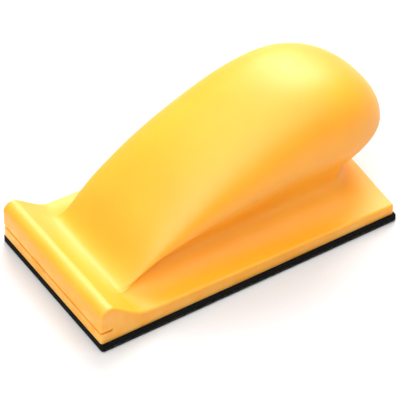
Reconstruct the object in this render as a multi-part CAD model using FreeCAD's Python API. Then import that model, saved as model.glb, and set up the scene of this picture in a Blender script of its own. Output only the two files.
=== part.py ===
import FreeCAD, Part
import math
import os

from FreeCAD import Vector

# Hand sanding block. Millimetres, +Z up, nose towards -Y. The origin is the centre of the
# working face, so the whole block stands on z = 0.

# ---- overall sizes -------------------------------------------------------------------
BASE_LENGTH = 127.0  # along Y
BASE_WIDTH = 68.6  # along X
CORNER_ROUND = 1.0  # upright corners of the base
RIM_ROUND = 0.9  # the moulding's upper rim

# ---- laminated sole, from the moulding down ------------------------------------------
SOLE_WIDTH = 70.0
SOLE_LENGTH = 128.0
SOLE_OFFSET = 0.7  # how far the sole was glued off centre, towards +X
SOLE_FILM = 0.15  # adhesive between moulding and foam
FOAM_THICKNESS = 2.0
HOOK_FILM = 0.15  # adhesive between foam and hook sheet
HOOK_THICKNESS = 0.85
SOLE_CORNER = 1.0
FILM_INSET = 0.3  # the films stop short of the sole's edge

# ---- deck, lip and slit, heights above the moulding's underside ----------------------
DECK_FRONT = 6.2  # deck height at the trough
DECK_REAR = 4.0  # deck height at the rear edge
TROUGH_FROM_NOSE = 19.5  # where the deck's even slope begins
LIP_SHOULDER = 11.0  # height of the centre of the lip's rounding
LIP_RADIUS = 4.0
LIP_ARC_FRONT = math.radians(75)  # how far the rounding turns down the nose
LIP_ARC_BACK = math.radians(37)  # and how steep the lip falls to the trough
TROUGH_RADIUS = 12.0
SLIT_HEIGHT = 1.2
SLIT_CENTRE = 4.7
SLIT_DEPTH = 5.0

# ---- palm grip: heights above the deck, as (y, value, slope) stations -----------------
GRIP_START = -56.0
GRIP_PEAK = 38.0
GRIP_HEIGHT = [
    (GRIP_START, 0.0, 0.0),
    (-38.0, 12.2, 1.16),
    (-22.0, 26.8, 0.78),
    (8.0, 44.0, 0.44),
    (GRIP_PEAK, 52.9, 0.0),
]
GRIP_HALF_WIDTH = [
    (GRIP_START, 22.0, 0.0),
    (-38.0, 23.8, 0.15),
    (-15.0, 26.6, 0.08),
    (8.0, 28.0, 0.03),
    (GRIP_PEAK, 28.2, 0.0),
]
NECK_HALF_WIDTH = [
    (GRIP_START, 24.3, 0.0),
    (-38.0, 22.4, -0.16),
    (-24.0, 20.8, -0.03),
    (0.0, 20.6, 0.0),
    (GRIP_PEAK, 20.6, 0.0),
]
FLARE_WIDTH = [
    (GRIP_START, 9.3, 0.0),
    (-38.0, 8.8, 0.0),
    (0.0, 10.5, 0.08),
    (GRIP_PEAK, 12.8, 0.0),
]
# the widest and the narrowest level of a section, as shares of its height
WIDEST_SHARE = [
    (GRIP_START, 0.66, 0.0),
    (-38.0, 0.68, 0.0),
    (-20.0, 0.62, -0.001),
    (10.0, 0.59, 0.0),
    (GRIP_PEAK, 0.55, 0.0),
]
NECK_SHARE = [
    (GRIP_START, 0.60, 0.0),
    (-38.0, 0.47, -0.010),
    (-20.0, 0.30, -0.005),
    (10.0, 0.20, 0.0),
    (GRIP_PEAK, 0.19, 0.0),
]
# how full the crown and the flare are: 1 is straight, 2 an ellipse
CROWN_POWER = [
    (GRIP_START, 1.5, 0.0),
    (-30.0, 2.2, 0.0),
    (GRIP_PEAK, 2.4, 0.0),
]
FLARE_POWER = [
    (GRIP_START, 1.3, 0.0),
    (-30.0, 2.0, 0.0),
    (GRIP_PEAK, 2.0, 0.0),
]

# ---- bulb and neck behind the peak ---------------------------------------------------
BULB_REACH = 35.4  # from the peak to the rearmost point
BULB_WIDEST = 26.7  # height of the rearmost point above the deck
BULB_PLAN_POWER = 2.3
BULB_CROWN_POWER = 1.87
NECK_REACH = 15.5
NECK_PLAN_POWER = 3.5
REAR_FLARE = 38.0

# ---- stiffener plate and its seat ----------------------------------------------------
PLATE_MARGIN = 4.3  # from the plate to the base's sides and rear edge
PLATE_NOSE_MARGIN = 16.5  # and to its nose
PLATE_THICKNESS = 1.6
PLATE_CORNER = 5.0
KEY_RADIUS = 3.0  # holes that the moulding's studs fill
KEY_COLUMNS = 5
KEY_ROWS = 2
KEY_MARGIN = 11.0  # from the plate's edges to the outer holes' centres

# ---- control net of the free-form skin -----------------------------------------------
CROWN_STEPS = 18
WALL_STEPS = 12
FLARE_STEPS = 12
DECK_STEPS = 6
TURN_STEPS = 60
ROW_PITCH = 1.5
LIP_STEPS = 16
SLOPE_STEPS = 4
TROUGH_STEPS = 8
SKIN_MARGIN = 8.0  # the skin runs this far past the base, then is trimmed to it
SKIN_DEPTH = 6.0  # and its walls this far below the underside
HAIR = 0.001  # closer than this, two places are the same
TRIM_GAP = 1.0  # level above the lip up to which the base's outline trims the skin

UNDERSIDE = HOOK_THICKNESS + HOOK_FILM + FOAM_THICKNESS + SOLE_FILM
NOSE = -BASE_LENGTH / 2
TAIL = BASE_LENGTH / 2


def along(stations, y):
    """A smooth curve through (position, value, slope) stations, level beyond its ends."""
    if y <= stations[0][0]:
        return stations[0][1]
    for (y0, v0, s0), (y1, v1, s1) in zip(stations, stations[1:]):
        if y <= y1:
            step = y1 - y0
            t = (y - y0) / step
            start = v0 * (1 + 2 * t) * (1 - t) ** 2 + s0 * step * t * (1 - t) ** 2
            return start + v1 * t * t * (3 - 2 * t) - s1 * step * t * t * (1 - t)
    return stations[-1][1]


def deck_slope():
    return (DECK_FRONT - DECK_REAR) / (BASE_LENGTH - TROUGH_FROM_NOSE)


def deck(y):
    """Height of the sloping deck, carried on past both ends."""
    return DECK_FRONT - (y - NOSE - TROUGH_FROM_NOSE) * deck_slope()


def lip_rows():
    """The deck's outline from ahead of the nose, over the lip, to the trough, as (y, z)."""
    centre = NOSE + LIP_RADIUS * math.sin(LIP_ARC_FRONT)
    rows = []
    start_y = centre - LIP_RADIUS * math.sin(LIP_ARC_FRONT)
    start_z = LIP_SHOULDER + LIP_RADIUS * math.cos(LIP_ARC_FRONT)
    for ahead in (2.0, 1.0):
        drop = ahead * math.tan(LIP_ARC_FRONT)
        rows.append((start_y - ahead, start_z - drop))
    turn = LIP_ARC_FRONT + LIP_ARC_BACK
    for i in range(LIP_STEPS + 1):
        angle = turn * i / LIP_STEPS - LIP_ARC_FRONT
        y = centre + LIP_RADIUS * math.sin(angle)
        rows.append((y, LIP_SHOULDER + LIP_RADIUS * math.cos(angle)))
    foot_y = rows[-1][0]
    foot_z = rows[-1][1]
    # where the lip's rear slope would meet the deck, and the round between the two
    fall = math.tan(LIP_ARC_BACK)
    corner = foot_y + (foot_z - deck(foot_y)) / (fall - deck_slope())
    bend = LIP_ARC_BACK - math.atan(deck_slope())
    reach = TROUGH_RADIUS * math.tan(bend / 2)
    arc_y = corner - reach * math.cos(LIP_ARC_BACK)
    for i in range(1, SLOPE_STEPS):
        y = foot_y + (arc_y - foot_y) * i / SLOPE_STEPS
        rows.append((y, foot_z - (y - foot_y) * fall))
    arc_z = deck(corner) + reach * math.sin(LIP_ARC_BACK)
    for i in range(TROUGH_STEPS + 1):
        angle = LIP_ARC_BACK - bend * i / TROUGH_STEPS
        y = arc_y + TROUGH_RADIUS * (math.sin(LIP_ARC_BACK) - math.sin(angle))
        z = arc_z - TROUGH_RADIUS * (math.cos(angle) - math.cos(LIP_ARC_BACK))
        rows.append((y, z))
    return rows


def deck_rows():
    """The deck's whole outline up to the grip's peak, as (y, z)."""
    rows = lip_rows()
    first = rows[-1][0]
    count = math.ceil((GRIP_PEAK - first) / ROW_PITCH)
    for i in range(1, count + 1):
        y = first + (GRIP_PEAK - first) * i / count
        rows.append((y, deck(y)))
    return rows


def rounded(width, height, power, steps, first=0):
    """Points of a superellipse quadrant, from (0, height) to (width, 0)."""
    points = []
    for i in range(first, steps):
        angle = math.pi / 2 * i / steps
        across = math.sin(angle)
        upward = math.cos(angle)
        size = (across**power + upward**power) ** (-1 / power)
        points.append((width * across * size, height * upward * size))
    return points


def grip_profile(height, widest_at, neck_at, half, neck, flare, crown_power, flare_power, reach):
    """Half a section of the grip as (distance from the middle, height above the deck).

    It runs from the crown over the widest level and down the wall to the neck, out along
    the flare to the deck, and on to the skin's edge.
    """
    points = []
    for across, rise in rounded(half, height - widest_at, crown_power, CROWN_STEPS):
        points.append((across, widest_at + rise))
    # a level tangent at the crown, so that both halves meet smoothly
    points[1] = (points[1][0], height)
    for i in range(WALL_STEPS):
        t = i / WALL_STEPS
        inward = t * t * (3 - 2 * t)
        points.append((half + (neck - half) * inward, widest_at + (neck_at - widest_at) * t))
    for rise, across in rounded(neck_at, flare, flare_power, FLARE_STEPS):
        points.append((neck + flare - across, neck_at - rise))
    foot = neck + flare
    for i in range(DECK_STEPS + 1):
        points.append((foot + (reach - foot) * i / DECK_STEPS, 0.0))
    return points


def skin_reach():
    return math.hypot(BASE_WIDTH / 2, TAIL - GRIP_PEAK) + SKIN_MARGIN


def front_rows(side):
    """Rows of the skin's control net from the nose to the peak, on one side (+1 or -1)."""
    rows = []
    for y, level in deck_rows():
        height = along(GRIP_HEIGHT, y)
        profile = grip_profile(
            height,
            height * along(WIDEST_SHARE, y),
            height * along(NECK_SHARE, y),
            along(GRIP_HALF_WIDTH, y),
            along(NECK_HALF_WIDTH, y),
            along(FLARE_WIDTH, y),
            along(CROWN_POWER, y),
            along(FLARE_POWER, y),
            skin_reach(),
        )
        rows.append([Vector(side * x, y, level + z) for x, z in profile])
    return rows


def plan_radius(half, reach, power, angle):
    """Distance from the peak's axis to a superellipse in plan."""
    across = abs(math.cos(angle)) / half
    back = abs(math.sin(angle)) / reach
    return (across**power + back**power) ** (-1 / power)


def rear_rows():
    """Rows of the skin's control net fanned about the peak, from +X by way of +Y to -X."""
    height = along(GRIP_HEIGHT, GRIP_PEAK)
    neck_at = height * along(NECK_SHARE, GRIP_PEAK)
    rows = []
    for i in range(TURN_STEPS + 1):
        angle = math.pi * i / TURN_STEPS
        back = math.sin(angle) ** 2
        side_widest = height * along(WIDEST_SHARE, GRIP_PEAK)
        side_flare = along(FLARE_WIDTH, GRIP_PEAK)
        side_power = along(CROWN_POWER, GRIP_PEAK)
        side_half = along(GRIP_HALF_WIDTH, GRIP_PEAK)
        side_neck = along(NECK_HALF_WIDTH, GRIP_PEAK)
        profile = grip_profile(
            height,
            side_widest + (BULB_WIDEST - side_widest) * back,
            neck_at,
            plan_radius(side_half, BULB_REACH, BULB_PLAN_POWER, angle),
            plan_radius(side_neck, NECK_REACH, NECK_PLAN_POWER, angle),
            side_flare + (REAR_FLARE - side_flare) * back,
            side_power + (BULB_CROWN_POWER - side_power) * back,
            along(FLARE_POWER, GRIP_PEAK),
            skin_reach(),
        )
        row = []
        for radius, z in profile:
            y = GRIP_PEAK + radius * math.sin(angle)
            row.append(Vector(radius * math.cos(angle), y, deck(y) + z))
        rows.append(row)
    # the net leaves the front's last row square to it, so that the two join smoothly
    for edge, inner in ((0, 1), (-1, -2)):
        for end, point in zip(rows[edge], rows[inner]):
            point.x = end.x
            point.z = end.z
    return rows


def skin_face(rows):
    """A cubic surface over a control net, clamped at its four borders."""
    across = len(rows[0])
    knots_u = list(range(len(rows) - 2))
    knots_v = list(range(across - 2))
    ends_u = [4] + [1] * (len(knots_u) - 2) + [4]
    ends_v = [4] + [1] * (len(knots_v) - 2) + [4]
    surface = Part.BSplineSurface()
    surface.buildFromPolesMultsKnots(
        rows, ends_u, ends_v, knots_u, knots_v, False, False, 3, 3
    )
    return surface.toShape()


def skin_curve(poles):
    knots = list(range(len(poles) - 2))
    ends = [4] + [1] * (len(knots) - 2) + [4]
    curve = Part.BSplineCurve()
    curve.buildFromPolesMultsKnots(poles, ends, knots, False, 3)
    return curve.toShape()


def skin_solid():
    """Everything below the skin, down to a level under the moulding."""
    right = front_rows(1)
    left = front_rows(-1)
    rear = rear_rows()
    faces = [skin_face(right), skin_face(left), skin_face(rear)]
    borders = [
        right[0],
        left[0],
        [row[-1] for row in right],
        [row[-1] for row in left],
        [row[-1] for row in rear],
    ]
    floor_edges = []
    for poles in borders:
        floor = [Vector(p.x, p.y, -SKIN_DEPTH) for p in poles]
        floor_edges.append(skin_curve(floor))
        faces.append(Part.makeRuledSurface(skin_curve(poles), floor_edges[-1]))
    outline = Part.Wire(Part.__sortEdges__(floor_edges))
    faces.append(Part.Face(outline))
    shell = Part.makeCompound(faces)
    shell.sewShape()
    solid = Part.makeSolid(shell.Shells[0])
    if solid.Volume < 0:
        solid.reverse()
    return solid


def slab(width, length, thickness, corner, base):
    """A plate with rounded corners, centred on the point base and standing on it."""
    box = Part.makeBox(width, length, thickness, base - Vector(width / 2, length / 2, 0))
    upright = [e for e in box.Edges if abs(e.Vertexes[0].Z - e.Vertexes[1].Z) > 0.5 * thickness]
    return box.makeFillet(corner, upright)


def on_outline(vertex):
    """Whether a corner of the moulding lies on the base's outline, above the underside."""
    aside = BASE_WIDTH / 2 - abs(vertex.X)
    behind = TAIL - abs(vertex.Y)
    on_edge = min(aside, behind) < HAIR
    in_corner = max(aside, behind) < CORNER_ROUND + HAIR
    return vertex.Z > HAIR and (on_edge or in_corner)


def rim_edges(block):
    """The edges between the base's upright sides and the skin above them."""
    edges = []
    for edge in block.Edges:
        ends = edge.Vertexes
        if len(ends) == 2 and all(on_outline(v) for v in ends):
            edges.append(edge)
    return edges


def trimmed_skin():
    level = LIP_SHOULDER + LIP_RADIUS + TRIM_GAP
    skin = skin_solid()
    box = skin.BoundBox
    outline = slab(BASE_WIDTH, BASE_LENGTH, level, CORNER_ROUND, Vector(0, 0, 0))
    corner = Vector(box.XMin - 1, box.YMin - 1, level)
    upper = Part.makeBox(box.XLength + 2, box.YLength + 2, box.ZMax - level + 1, corner)
    block = skin.common(outline.fuse(upper)).Solids[0]
    return block.makeFillet(RIM_ROUND, rim_edges(block))


def slit():
    """The slit across the nose, with a round bottom."""
    radius = SLIT_HEIGHT / 2
    width = BASE_WIDTH + 2
    depth = SLIT_DEPTH - radius
    corner = Vector(-width / 2, NOSE - 1, SLIT_CENTRE - radius)
    gap = Part.makeBox(width, depth + 1, SLIT_HEIGHT, corner)
    end = Vector(-width / 2, NOSE + depth, SLIT_CENTRE)
    return gap.fuse(Part.makeCylinder(radius, width, end, Vector(1, 0, 0)))


def stiffener_plate():
    """The rigid plate cast into the underside, with holes that key it to the moulding."""
    width = BASE_WIDTH - 2 * PLATE_MARGIN
    length = BASE_LENGTH - PLATE_MARGIN - PLATE_NOSE_MARGIN
    centre = Vector(0, TAIL - PLATE_MARGIN - length / 2, UNDERSIDE)
    plate = slab(width, length, PLATE_THICKNESS, PLATE_CORNER, centre)
    pitch_x = (width - 2 * KEY_MARGIN) / (KEY_ROWS - 1)
    pitch_y = (length - 2 * KEY_MARGIN) / (KEY_COLUMNS - 1)
    for row in range(KEY_ROWS):
        for column in range(KEY_COLUMNS):
            x = (row - (KEY_ROWS - 1) / 2) * pitch_x
            y = (column - (KEY_COLUMNS - 1) / 2) * pitch_y
            foot = centre + Vector(x, y, 0)
            plate = plate.cut(Part.makeCylinder(KEY_RADIUS, PLATE_THICKNESS, foot))
    return plate


def handle_body():
    body = trimmed_skin().cut(slit())
    body.translate(Vector(0, 0, UNDERSIDE))
    body = body.cut(stiffener_plate())
    return body.Solids[0]


def sole_adhesive():
    level = HOOK_THICKNESS + HOOK_FILM + FOAM_THICKNESS
    return slab(BASE_WIDTH, BASE_LENGTH, SOLE_FILM, CORNER_ROUND, Vector(0, 0, level))


def foam_sole():
    level = HOOK_THICKNESS + HOOK_FILM
    centre = Vector(SOLE_OFFSET, 0, level)
    return slab(SOLE_WIDTH, SOLE_LENGTH, FOAM_THICKNESS, SOLE_CORNER, centre)


def hook_adhesive():
    width = SOLE_WIDTH - 2 * FILM_INSET
    length = SOLE_LENGTH - 2 * FILM_INSET
    return slab(width, length, HOOK_FILM, SOLE_CORNER, Vector(SOLE_OFFSET, 0, HOOK_THICKNESS))


def hook_sheet():
    centre = Vector(SOLE_OFFSET, 0, 0)
    return slab(SOLE_WIDTH, SOLE_LENGTH, HOOK_THICKNESS, SOLE_CORNER, centre)


PIECES = {
    "handle_body": handle_body,
    "stiffener_plate": stiffener_plate,
    "sole_adhesive": sole_adhesive,
    "foam_sole": foam_sole,
    "hook_adhesive": hook_adhesive,
    "hook_sheet": hook_sheet,
}


def main():
    os.makedirs("parts", exist_ok=True)
    for name, build in PIECES.items():
        shape = build()
        box = shape.BoundBox
        size = f"{box.XLength:.2f} x {box.YLength:.2f} x {box.ZLength:.2f}"
        print(name, "valid" if shape.isValid() else "INVALID", len(shape.Solids), size)
        shape.exportStep(f"parts/{name}.step")


main()
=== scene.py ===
import math

import bmesh
import bpy
from mathutils import Matrix, Vector, noise

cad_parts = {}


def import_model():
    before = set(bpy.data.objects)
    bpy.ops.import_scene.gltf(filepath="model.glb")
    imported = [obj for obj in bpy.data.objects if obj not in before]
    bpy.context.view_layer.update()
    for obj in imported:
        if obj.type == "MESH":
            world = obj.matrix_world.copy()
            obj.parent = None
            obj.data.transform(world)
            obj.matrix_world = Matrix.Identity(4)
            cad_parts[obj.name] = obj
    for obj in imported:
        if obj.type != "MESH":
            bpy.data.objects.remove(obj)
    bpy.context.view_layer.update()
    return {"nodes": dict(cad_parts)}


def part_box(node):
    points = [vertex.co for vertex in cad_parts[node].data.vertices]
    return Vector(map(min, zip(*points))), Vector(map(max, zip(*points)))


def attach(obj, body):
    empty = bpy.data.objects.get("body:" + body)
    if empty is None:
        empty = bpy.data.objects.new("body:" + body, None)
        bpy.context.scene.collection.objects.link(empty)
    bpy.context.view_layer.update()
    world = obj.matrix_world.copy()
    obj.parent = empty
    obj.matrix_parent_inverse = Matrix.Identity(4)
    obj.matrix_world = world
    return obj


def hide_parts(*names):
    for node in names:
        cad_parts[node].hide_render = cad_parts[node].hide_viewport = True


# Hand sanding block: satin moulded grip and base on a black foam sole faced with hooks.
# Metres, +Z up, nose towards -Y, working face on z = 0.

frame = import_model()
NODES = frame["nodes"]
MM = 0.001

# ---- places taken from the frame ---------------------------------------------------------
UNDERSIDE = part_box("handle_body")[0].z
SOLE_LOW, SOLE_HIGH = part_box("foam_sole")
HOOK_LOW, HOOK_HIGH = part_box("hook_sheet")

# ---- camera ------------------------------------------------------------------------------
CAMERA_TURN = math.radians(57.05)
CAMERA_TILT = math.radians(41.99)
CAMERA_DISTANCE = 1.0
CAMERA_ACROSS = 0.116 * MM
CAMERA_UP = 8.567 * MM
SENSOR = 36.0
LENS = 243.8


# ==== node helpers ========================================================================
def link(tree, source, target):
    tree.links.new(source, target)


def new_material(name):
    material = bpy.data.materials.new(name)
    material.use_nodes = True
    tree = material.node_tree
    tree.nodes.clear()
    output = tree.nodes.new("ShaderNodeOutputMaterial")
    shader = tree.nodes.new("ShaderNodeBsdfPrincipled")
    link(tree, shader.outputs["BSDF"], output.inputs["Surface"])
    return material, tree, shader


def linear(red, green, blue):
    """An sRGB colour, 0 to 255, as the linear colour that a shader takes."""
    values = []
    for value in (red, green, blue):
        share = value / 255
        values.append(share / 12.92 if share <= 0.04045 else ((share + 0.055) / 1.055) ** 2.4)
    return (*values, 1.0)


def put(tree, value, socket):
    """A number or colour goes on the socket itself; another node's output is linked to it."""
    if isinstance(value, (int, float, tuple)):
        socket.default_value = value
    else:
        link(tree, value, socket)


def math_node(tree, operation, first, second):
    node = tree.nodes.new("ShaderNodeMath")
    node.operation = operation
    put(tree, first, node.inputs[0])
    put(tree, second, node.inputs[1])
    return node.outputs[0]


def object_place(tree):
    return tree.nodes.new("ShaderNodeTexCoord").outputs["Object"]


def noise_node(tree, place, scale, detail=2.0):
    node = tree.nodes.new("ShaderNodeTexNoise")
    node.inputs["Detail"].default_value = detail
    link(tree, place, node.inputs["Vector"])
    put(tree, scale, node.inputs["Scale"])
    return node.outputs["Fac"]


def voronoi_node(tree, place, scale):
    node = tree.nodes.new("ShaderNodeTexVoronoi")
    link(tree, place, node.inputs["Vector"])
    put(tree, scale, node.inputs["Scale"])
    return node.outputs["Distance"]


def remap(tree, value, low, high, to_low=0.0, to_high=1.0):
    node = tree.nodes.new("ShaderNodeMapRange")
    node.clamp = True
    link(tree, value, node.inputs["Value"])
    put(tree, low, node.inputs["From Min"])
    put(tree, high, node.inputs["From Max"])
    put(tree, to_low, node.inputs["To Min"])
    put(tree, to_high, node.inputs["To Max"])
    return node.outputs["Result"]


def mix_colour(tree, share, first, second):
    node = tree.nodes.new("ShaderNodeMix")
    node.data_type = "RGBA"
    sockets = [socket for socket in node.inputs if socket.enabled]
    for socket, value in zip(sockets, (share, first, second)):
        put(tree, value, socket)
    return next(socket for socket in node.outputs if socket.enabled)


def bump(tree, shader, height, strength, distance):
    node = tree.nodes.new("ShaderNodeBump")
    node.inputs["Strength"].default_value = strength
    node.inputs["Distance"].default_value = distance
    link(tree, height, node.inputs["Height"])
    link(tree, node.outputs["Normal"], shader.inputs["Normal"])


def new_group(name, inputs, outputs):
    """An empty shader group; inputs and outputs are (name, socket type, default) rows."""
    group = bpy.data.node_groups.new(name, "ShaderNodeTree")
    for label, kind, default in inputs:
        socket = group.interface.new_socket(name=label, in_out="INPUT", socket_type=kind)
        socket.default_value = default
    for label, kind in outputs:
        group.interface.new_socket(name=label, in_out="OUTPUT", socket_type=kind)
    return group, group.nodes.new("NodeGroupInput"), group.nodes.new("NodeGroupOutput")


def place_group(tree, group, **values):
    node = tree.nodes.new("ShaderNodeGroup")
    node.node_tree = group
    for name, value in values.items():
        put(tree, value, node.inputs[name.replace("_", " ")])
    return node


# ==== shared effects ======================================================================
DUST_PATCH_SCALE = 90.0


def make_grain_group():
    """Skin grain: a fine texture over a soft unevenness, as one height, with a tone mask."""
    group, source, result = new_group(
        "skin_grain",
        [
            ("Fine Scale", "NodeSocketFloat", 2200.0),
            ("Soft Scale", "NodeSocketFloat", 60.0),
            ("Fine Share", "NodeSocketFloat", 0.5),
        ],
        [("Height", "NodeSocketFloat"), ("Tone", "NodeSocketFloat")],
    )
    place = object_place(group)
    share = source.outputs["Fine Share"]
    fine = noise_node(group, place, source.outputs["Fine Scale"], 3.0)
    soft = noise_node(group, place, source.outputs["Soft Scale"])
    fine_part = math_node(group, "MULTIPLY", fine, share)
    soft_part = math_node(group, "MULTIPLY", soft, math_node(group, "SUBTRACT", 1.0, share))
    link(group, math_node(group, "ADD", fine_part, soft_part), result.inputs["Height"])
    link(group, soft, result.inputs["Tone"])
    return group


def make_edge_mask_group():
    """Mask of the sharp outer edges, broken up by noise: 1 on an edge, 0 on a flat."""
    group, source, result = new_group(
        "outer_edge_mask",
        [
            ("Low", "NodeSocketFloat", 0.52),
            ("High", "NodeSocketFloat", 0.60),
            ("Break Scale", "NodeSocketFloat", 180.0),
        ],
        [("Mask", "NodeSocketFloat")],
    )
    pointed = group.nodes.new("ShaderNodeNewGeometry").outputs["Pointiness"]
    edge = remap(group, pointed, source.outputs["Low"], source.outputs["High"])
    breakup = noise_node(group, object_place(group), source.outputs["Break Scale"], 3.0)
    patches = remap(group, breakup, 0.35, 0.65)
    link(group, math_node(group, "MULTIPLY", edge, patches), result.inputs["Mask"])
    return group


def make_dust_group():
    """Mask of fine dust that settles in specks."""
    group, source, result = new_group(
        "dust_specks",
        [("Speck Scale", "NodeSocketFloat", 900.0), ("Amount", "NodeSocketFloat", 0.3)],
        [("Mask", "NodeSocketFloat")],
    )
    place = object_place(group)
    dots = remap(group, voronoi_node(group, place, source.outputs["Speck Scale"]), 0.30, 0.12)
    patches = remap(group, noise_node(group, place, DUST_PATCH_SCALE), 0.45, 0.75)
    both = math_node(group, "MULTIPLY", dots, patches)
    link(group, math_node(group, "MULTIPLY", both, source.outputs["Amount"]), result.inputs["Mask"])
    return group


GRAIN = make_grain_group()
EDGE_MASK = make_edge_mask_group()
DUST = make_dust_group()


# ==== materials ===========================================================================
def yellow_moulding():
    """Integral-skin moulding: warm yellow, satin, a fine even grain and lighter edges, partly
    rubbed pale with use and partly a painted highlight.
    """
    material, tree, shader = new_material("yellow_moulding")
    grain = place_group(tree, GRAIN, Fine_Scale=2600.0, Soft_Scale=45.0, Fine_Share=0.75)
    outer_edges = place_group(tree, EDGE_MASK, Low=0.51, High=0.58, Break_Scale=160.0)
    dust = place_group(tree, DUST, Speck_Scale=1100.0, Amount=0.12)
    tone = remap(tree, grain.outputs["Tone"], 0.3, 0.7)
    base = mix_colour(tree, tone, linear(252, 164, 16), linear(254, 170, 22))
    # the outer edges are painted paler: partly rubbed pale with use, partly a painted highlight
    wear_and_painted_highlight_share = math_node(tree, "MULTIPLY", outer_edges.outputs["Mask"], 0.45)
    wear_and_painted_light = mix_colour(tree, wear_and_painted_highlight_share, base, linear(255, 208, 110))
    dusty = mix_colour(tree, dust.outputs["Mask"], wear_and_painted_light, linear(250, 220, 150))
    link(tree, dusty, shader.inputs["Base Color"])
    rough = remap(tree, grain.outputs["Height"], 0.3, 0.7, 0.44, 0.56)
    link(tree, rough, shader.inputs["Roughness"])
    shader.inputs["Specular IOR Level"].default_value = 0.75
    shader.inputs["Subsurface Weight"].default_value = 0.12
    shader.inputs["Subsurface Radius"].default_value = (1.0, 0.5, 0.15)
    shader.inputs["Subsurface Scale"].default_value = 1.2 * MM
    bump(tree, shader, grain.outputs["Height"], 0.15, 0.05 * MM)
    return material


def black_foam():
    """Closed-cell foam rubber: near black, matt, with open pores on the cut edge, their pits
    painted darker as shade.
    """
    material, tree, shader = new_material("black_foam")
    depth = remap(tree, voronoi_node(tree, object_place(tree), 1800.0), 0.15, 0.55)
    grain = place_group(tree, GRAIN, Fine_Scale=1400.0, Soft_Scale=70.0, Fine_Share=0.6)
    dust = place_group(tree, DUST, Speck_Scale=1500.0, Amount=0.12)
    light = remap(tree, grain.outputs["Height"], 0.35, 0.65)
    base = mix_colour(tree, light, linear(3, 3, 3), linear(12, 12, 12))
    # painted shade: the pits of the pores are painted near black, darker than the foam round them
    pitted_with_painted_shade = mix_colour(tree, depth, linear(1, 1, 1), base)
    dusty = mix_colour(tree, dust.outputs["Mask"], pitted_with_painted_shade, linear(150, 128, 90))
    link(tree, dusty, shader.inputs["Base Color"])
    link(tree, remap(tree, depth, 0.0, 1.0, 0.97, 0.86), shader.inputs["Roughness"])
    shader.inputs["Specular IOR Level"].default_value = 0.15
    bump(tree, shader, depth, 0.6, 0.12 * MM)
    return material


def hook_fastener():
    """Woven nylon backing and its hooks: a fine plain weave, black, with a soft sheen; the weave is
    painted darker between the threads as shade and lighter where they cross.
    """
    material, tree, shader = new_material("hook_fastener")
    place = object_place(tree)
    threads = []
    for direction in ("X", "Y"):
        wave = tree.nodes.new("ShaderNodeTexWave")
        wave.bands_direction = direction
        wave.inputs["Scale"].default_value = 900.0
        wave.inputs["Distortion"].default_value = 0.6
        wave.inputs["Detail Scale"].default_value = 3.0
        link(tree, place, wave.inputs["Vector"])
        threads.append(wave.outputs["Fac"])
    weave = math_node(tree, "MULTIPLY", *threads)
    grain = place_group(tree, GRAIN, Fine_Scale=3000.0, Soft_Scale=50.0, Fine_Share=0.5)
    # painted shade and sheen: darker in the gaps between the threads, lighter where they cross
    base = mix_colour(tree, weave, linear(10, 10, 11), linear(38, 38, 40))
    faded = remap(tree, grain.outputs["Tone"], 0.55, 0.8)
    wear_and_painted_light = mix_colour(tree, faded, base, linear(52, 50, 47))
    link(tree, wear_and_painted_light, shader.inputs["Base Color"])
    link(tree, remap(tree, weave, 0.0, 1.0, 0.75, 0.5), shader.inputs["Roughness"])
    shader.inputs["Specular IOR Level"].default_value = 0.35
    bump(tree, shader, weave, 0.5, 0.08 * MM)
    return material


def adhesive_film():
    """Acrylic adhesive film: pale, a little cloudy, with fine bubbles."""
    material, tree, shader = new_material("adhesive_film")
    grain = place_group(tree, GRAIN, Fine_Scale=1200.0, Soft_Scale=90.0, Fine_Share=0.3)
    dust = place_group(tree, DUST, Speck_Scale=700.0, Amount=0.5)
    cloud = remap(tree, grain.outputs["Height"], 0.35, 0.65)
    base = mix_colour(tree, cloud, linear(170, 158, 118), linear(206, 196, 160))
    bubbled = mix_colour(tree, dust.outputs["Mask"], base, linear(232, 228, 210))
    link(tree, bubbled, shader.inputs["Base Color"])
    link(tree, remap(tree, cloud, 0.0, 1.0, 0.25, 0.45), shader.inputs["Roughness"])
    bump(tree, shader, grain.outputs["Height"], 0.2, 0.03 * MM)
    return material


def stiffener():
    """Pressed board of the plate inside the moulding: tan, with short fibres and sawn edges."""
    material, tree, shader = new_material("stiffener")
    stretch = tree.nodes.new("ShaderNodeMapping")
    stretch.inputs["Scale"].default_value = (1.0, 0.15, 1.0)
    link(tree, object_place(tree), stretch.inputs["Vector"])
    fibres = noise_node(tree, stretch.outputs["Vector"], 900.0, 4.0)
    outer_edges = place_group(tree, EDGE_MASK, Low=0.52, High=0.60, Break_Scale=220.0)
    streak = remap(tree, fibres, 0.35, 0.65)
    base = mix_colour(tree, streak, linear(112, 84, 52), linear(150, 118, 78))
    edged = mix_colour(tree, outer_edges.outputs["Mask"], base, linear(176, 146, 104))
    link(tree, edged, shader.inputs["Base Color"])
    link(tree, remap(tree, streak, 0.0, 1.0, 0.7, 0.9), shader.inputs["Roughness"])
    bump(tree, shader, streak, 0.4, 0.05 * MM)
    return material


YELLOW = yellow_moulding()
FOAM = black_foam()
HOOKS = hook_fastener()
FILM = adhesive_film()
BOARD = stiffener()


def dress(node, material):
    """The material goes in the carried-over node's own material slots."""
    for place in NODES[node].material_slots:
        place.material = material


dress("handle_body", YELLOW)
dress("stiffener_plate", BOARD)
dress("sole_adhesive", FILM)
dress("hook_adhesive", FILM)


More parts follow.
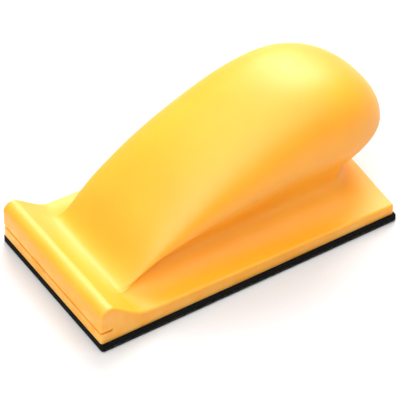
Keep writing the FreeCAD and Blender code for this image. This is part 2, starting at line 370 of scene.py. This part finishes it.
# ==== sole ================================================================================
SOLE_CORNER = 1.0 * MM
CORNER_STEPS = 4
CAP_INSET = 0.8 * MM  # less than the corner's radius, so that the ring never crosses itself
ROUND_STEPS = 3
SIDE_STEPS = 5
CRUMB_SCALE = 900.0  # of the noise that makes a cut edge uneven
FOAM_ROUND = 0.25 * MM
FOAM_PITCH = 0.45 * MM  # between points round the edge
FOAM_CRUMBS = 0.16 * MM
BACKING = 0.35 * MM  # thickness of the woven backing
BACKING_ROUND = 0.08 * MM
BACKING_PITCH = 0.6 * MM
BACKING_FRAY = 0.06 * MM
HOOK_EDGE = 1.0 * MM  # bare margin round the hooks
HOOK_SPACING = 1.9 * MM
HOOK_WIRE = 0.11 * MM  # radius
HOOK_SIDES = 4
HOOK_BENDS = 6
HOOK_TURN = 0.35  # radians, either way
# the wire's bend, as (control point, sideways, upwards), in shares of the hook's drop
HOOK_SHAPE = [
    ("Start", 0.0, 0.15),
    ("Start Handle", 0.0, -1.1),
    ("End Handle", 0.95, -1.0),
    ("End", 0.70, -0.25),
]


def outline(low, high, corner, spacing):
    """Points round a rectangle with round corners, and the outward normal at each."""
    points = []
    middle = (low + high) / 2
    corners = ((high.x, high.y), (low.x, high.y), (low.x, low.y), (high.x, low.y))
    for turn, (x, y) in enumerate(corners):
        centre_x = x - math.copysign(corner, x - middle.x)
        centre_y = y - math.copysign(corner, y - middle.y)
        for step in range(CORNER_STEPS + 1):
            angle = math.pi / 2 * (turn + step / CORNER_STEPS)
            normal = Vector((math.cos(angle), math.sin(angle)))
            points.append((Vector((centre_x, centre_y)) + normal * corner, normal))
    rows = []
    for (start, normal), (end, next_normal) in zip(points, points[1:] + points[:1]):
        count = max(1, round((end - start).length / spacing))
        for step in range(count):
            share = step / count
            rows.append((start.lerp(end, share), normal.lerp(next_normal, share).normalized()))
    return rows


def slab(name, low, high, spacing, section, ragged):
    """A closed sheet: the outline carried through a section of (inset, height) rows."""
    bm = bmesh.new()
    rows = outline(low, high, SOLE_CORNER, spacing)
    rings = []
    for inset, height in section:
        ring = []
        for point, normal in rows:
            here = Vector((*point, height))
            crumb = 0.5 + 0.5 * noise.noise(here * CRUMB_SCALE)
            rough = ragged * crumb if inset < CAP_INSET else 0.0
            ring.append(bm.verts.new(here - Vector((*normal, 0.0)) * (inset + rough)))
        rings.append(ring)
    for lower, upper in zip(rings, rings[1:]):
        for index in range(len(rows)):
            after = (index + 1) % len(rows)
            bm.faces.new((lower[index], lower[after], upper[after], upper[index]))
    bm.faces.new(rings[0][::-1])
    bm.faces.new(rings[-1])
    bmesh.ops.recalc_face_normals(bm, faces=bm.faces)
    mesh = bpy.data.meshes.new(name)
    bm.to_mesh(mesh)
    bm.free()
    piece = bpy.data.objects.new(name, mesh)
    bpy.context.scene.collection.objects.link(piece)
    return piece


def round_section(bottom, top, soft):
    """Rows of a section that is rounded over at both edges, with a flat cap at each end."""
    rows = [(CAP_INSET, bottom)]
    angles = [math.pi / 2 * step / ROUND_STEPS for step in range(ROUND_STEPS + 1)]
    for angle in angles:
        rows.append((soft * (1 - math.sin(angle)), bottom + soft * (1 - math.cos(angle))))
    side = top - bottom - 2 * soft
    for step in range(1, SIDE_STEPS):
        rows.append((0.0, bottom + soft + side * step / SIDE_STEPS))
    for angle in angles:
        rows.append((soft * (1 - math.cos(angle)), top - soft * (1 - math.sin(angle))))
    return rows + [(CAP_INSET, top)]


def foam_sole():
    section = round_section(SOLE_LOW.z, SOLE_HIGH.z, FOAM_ROUND)
    piece = slab("foam_pad", SOLE_LOW, SOLE_HIGH, FOAM_PITCH, section, FOAM_CRUMBS)
    piece.data.materials.append(FOAM)
    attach(piece, "root")
    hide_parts("foam_sole")


def hook_backing():
    section = round_section(HOOK_HIGH.z - BACKING, HOOK_HIGH.z, BACKING_ROUND)
    piece = slab("hook_backing", HOOK_LOW, HOOK_HIGH, BACKING_PITCH, section, BACKING_FRAY)
    piece.data.materials.append(HOOKS)
    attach(piece, "root")
    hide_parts("hook_sheet")


def hook_tree():
    """Geometry Nodes: rows of bent hooks, hanging from a grid, turned a little at random."""
    tree = bpy.data.node_groups.new("hook_rows", "GeometryNodeTree")
    tree.interface.new_socket(name="Geometry", in_out="OUTPUT", socket_type="NodeSocketGeometry")
    for label, kind in (
        ("Width", "NodeSocketFloat"),
        ("Length", "NodeSocketFloat"),
        ("Across", "NodeSocketInt"),
        ("Along", "NodeSocketInt"),
        ("Drop", "NodeSocketFloat"),
        ("Wire", "NodeSocketFloat"),
        ("Place", "NodeSocketVector"),
        ("Seed", "NodeSocketInt"),
        ("Finish", "NodeSocketMaterial"),
    ):
        tree.interface.new_socket(name=label, in_out="INPUT", socket_type=kind)
    add = tree.nodes.new
    source = add("NodeGroupInput").outputs
    result = add("NodeGroupOutput")

    grid = add("GeometryNodeMeshGrid")
    link(tree, source["Width"], grid.inputs["Size X"])
    link(tree, source["Length"], grid.inputs["Size Y"])
    link(tree, source["Across"], grid.inputs["Vertices X"])
    link(tree, source["Along"], grid.inputs["Vertices Y"])
    move = add("GeometryNodeTransform")
    link(tree, grid.outputs["Mesh"], move.inputs["Geometry"])
    link(tree, source["Place"], move.inputs["Translation"])

    def corner(side, height):
        node = add("ShaderNodeCombineXYZ")
        link(tree, math_node(tree, "MULTIPLY", source["Drop"], side), node.inputs["X"])
        link(tree, math_node(tree, "MULTIPLY", source["Drop"], height), node.inputs["Z"])
        return node.outputs["Vector"]

    bend = add("GeometryNodeCurvePrimitiveBezierSegment")
    bend.inputs["Resolution"].default_value = HOOK_BENDS
    for name, side, height in HOOK_SHAPE:
        link(tree, corner(side, height), bend.inputs[name])
    wire = add("GeometryNodeCurvePrimitiveCircle")
    wire.inputs["Resolution"].default_value = HOOK_SIDES
    link(tree, source["Wire"], wire.inputs["Radius"])
    hook = add("GeometryNodeCurveToMesh")
    link(tree, bend.outputs["Curve"], hook.inputs["Curve"])
    link(tree, wire.outputs["Curve"], hook.inputs["Profile Curve"])
    hook.inputs["Fill Caps"].default_value = True

    turn = add("FunctionNodeRandomValue")
    turn.data_type = "FLOAT"
    limits = [socket for socket in turn.inputs if socket.enabled]
    limits[0].default_value = -HOOK_TURN
    limits[1].default_value = HOOK_TURN
    link(tree, source["Seed"], turn.inputs["Seed"])
    index = add("GeometryNodeInputIndex").outputs["Index"]
    facing = math_node(tree, "MULTIPLY", math_node(tree, "MODULO", index, 2.0), math.pi)
    turned = next(socket for socket in turn.outputs if socket.enabled)
    angle = math_node(tree, "ADD", facing, turned)
    spin = add("ShaderNodeCombineXYZ")
    link(tree, angle, spin.inputs["Z"])
    rows = add("GeometryNodeInstanceOnPoints")
    link(tree, move.outputs["Geometry"], rows.inputs["Points"])
    link(tree, hook.outputs["Mesh"], rows.inputs["Instance"])
    link(tree, spin.outputs["Vector"], rows.inputs["Rotation"])
    real = add("GeometryNodeRealizeInstances")
    link(tree, rows.outputs["Instances"], real.inputs["Geometry"])
    finish = add("GeometryNodeSetMaterial")
    link(tree, real.outputs["Geometry"], finish.inputs["Geometry"])
    link(tree, source["Finish"], finish.inputs["Material"])
    link(tree, finish.outputs["Geometry"], result.inputs["Geometry"])
    return tree


def grown(name, tree, **values):
    """The mesh that a Geometry Nodes tree makes with these inputs, as a plain piece."""
    start = bpy.data.objects.new(name + "_start", bpy.data.meshes.new(name + "_start"))
    bpy.context.scene.collection.objects.link(start)
    modifier = start.modifiers.new("grow", "NODES")
    modifier.node_group = tree
    for item in tree.interface.items_tree:
        if item.in_out == "INPUT":
            modifier[item.identifier] = values[item.name]
    bpy.context.view_layer.update()
    shaped = start.evaluated_get(bpy.context.evaluated_depsgraph_get())
    mesh = bpy.data.meshes.new_from_object(shaped)
    mesh.name = name
    bpy.data.objects.remove(start)
    piece = bpy.data.objects.new(name, mesh)
    bpy.context.scene.collection.objects.link(piece)
    return piece


def hook_field():
    size = HOOK_HIGH - HOOK_LOW
    width = size.x - 2 * HOOK_EDGE
    length = size.y - 2 * HOOK_EDGE
    root = HOOK_HIGH.z - BACKING
    middle = (HOOK_LOW + HOOK_HIGH) / 2
    piece = grown(
        "hooks",
        hook_tree(),
        Width=width,
        Length=length,
        Across=round(width / HOOK_SPACING) + 1,
        Along=round(length / HOOK_SPACING) + 1,
        Drop=root - HOOK_LOW.z - HOOK_WIRE,
        Wire=HOOK_WIRE,
        Place=(middle.x, middle.y, root),
        Seed=7,
        Finish=HOOKS,
    )
    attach(piece, "root")


foam_sole()
hook_backing()
hook_field()


# ==== floor, light and camera =============================================================
FLOOR_HALF = 6.0
SKY_STRENGTH = 0.28
LIGHT_TARGET = (0, 0, 0.03)
# softboxes, as (name, place, width, height, radiance)
SOFTBOXES = [
    ("top_box", (-0.05, 0.00, 1.05), 1.5, 1.5, 1.35),
    ("nose_box", (0.25, -0.75, 0.90), 1.0, 0.8, 3.6),
    ("side_box", (0.60, 0.35, 0.90), 0.6, 0.5, 1.6),
    ("back_box", (-0.55, 0.45, 0.65), 0.70, 0.60, 8.0),
]


def floor():
    mesh = bpy.data.meshes.new("floor")
    signs = ((-1, -1), (1, -1), (1, 1), (-1, 1))
    corners = [(x * FLOOR_HALF, y * FLOOR_HALF, 0) for x, y in signs]
    mesh.from_pydata(corners, [], [(0, 1, 2, 3)])
    surface = bpy.data.objects.new("floor", mesh)
    bpy.context.scene.collection.objects.link(surface)
    material, tree, shader = new_material("paper_floor")
    shader.inputs["Base Color"].default_value = linear(214, 214, 214)
    shader.inputs["Roughness"].default_value = 0.9
    mesh.materials.append(material)


def softbox(name, place, width, height, radiance):
    """A rectangular light of the given radiance, aimed at the object."""
    data = bpy.data.lights.new(name, "AREA")
    data.shape = "RECTANGLE"
    data.size = width
    data.size_y = height
    data.energy = radiance * math.pi * width * height
    light = bpy.data.objects.new(name, data)
    back = (Vector(place) - Vector(LIGHT_TARGET)).normalized()
    across = Vector((0, 0, 1)).cross(back).normalized()
    turn = Matrix((across, back.cross(across), back)).transposed()
    light.matrix_world = Matrix.Translation(place) @ turn.to_4x4()
    bpy.context.scene.collection.objects.link(light)


def world():
    surroundings = bpy.data.worlds.new("studio")
    surroundings.use_nodes = True
    background = surroundings.node_tree.nodes["Background"]
    background.inputs["Color"].default_value = (1, 1, 1, 1)
    background.inputs["Strength"].default_value = SKY_STRENGTH
    bpy.context.scene.world = surroundings


def camera():
    back = Vector(
        (
            math.sin(CAMERA_TURN) * math.cos(CAMERA_TILT),
            -math.cos(CAMERA_TURN) * math.cos(CAMERA_TILT),
            math.sin(CAMERA_TILT),
        )
    )
    right = Vector((math.cos(CAMERA_TURN), math.sin(CAMERA_TURN), 0))
    up = back.cross(right)
    data = bpy.data.cameras.new("camera")
    data.sensor_width = SENSOR
    data.lens = LENS
    data.clip_start = 0.05
    data.clip_end = 50.0
    view = bpy.data.objects.new("camera", data)
    place = back * CAMERA_DISTANCE + right * CAMERA_ACROSS + up * CAMERA_UP
    place.z += UNDERSIDE
    turn = Matrix((right, up, back)).transposed()
    view.matrix_world = Matrix.Translation(place) @ turn.to_4x4()
    bpy.context.scene.collection.objects.link(view)
    bpy.context.scene.camera = view


floor()
world()
for row in SOFTBOXES:
    softbox(*row)
camera()
bpy.context.scene.view_settings.view_transform = "Standard"
